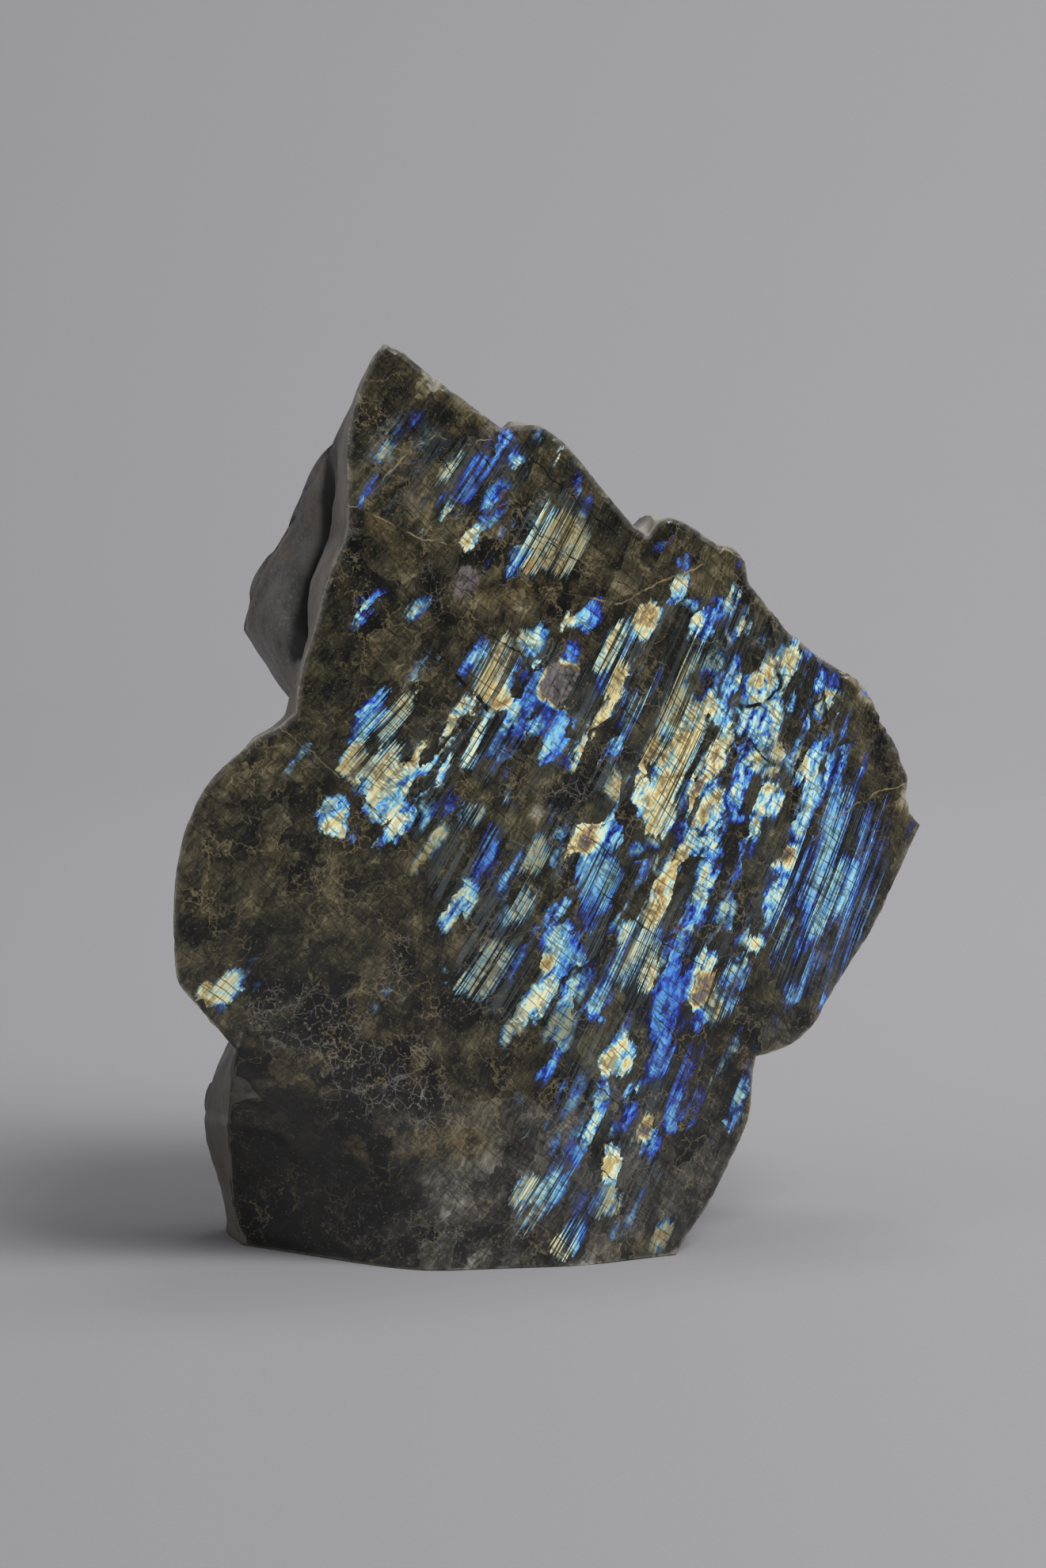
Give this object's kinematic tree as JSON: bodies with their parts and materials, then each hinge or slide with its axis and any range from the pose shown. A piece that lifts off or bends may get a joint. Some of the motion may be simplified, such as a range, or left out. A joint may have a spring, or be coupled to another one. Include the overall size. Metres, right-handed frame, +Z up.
{
  "type": "labradorite sculpture",
  "caption": "Free-standing labradorite stone with a broad polished front face in a lobed outline, ground sides, a rounded back and a sawn flat foot.",
  "frame": {"origin": "under the middle of the stone's box, on the surface that it stands on", "axes": "+Z up, a viewer in front of the polished face looks along +Y, +X to that viewer's right"},
  "size_m": [0.3804, 0.2318, 0.4593],
  "materials": {
    "labradorite": "polished on the front face, ground matte on the sides and back"
  },
  "bodies": {
    "root": {"labradorite_stone": "labradorite"}
  },
  "joints": []
}
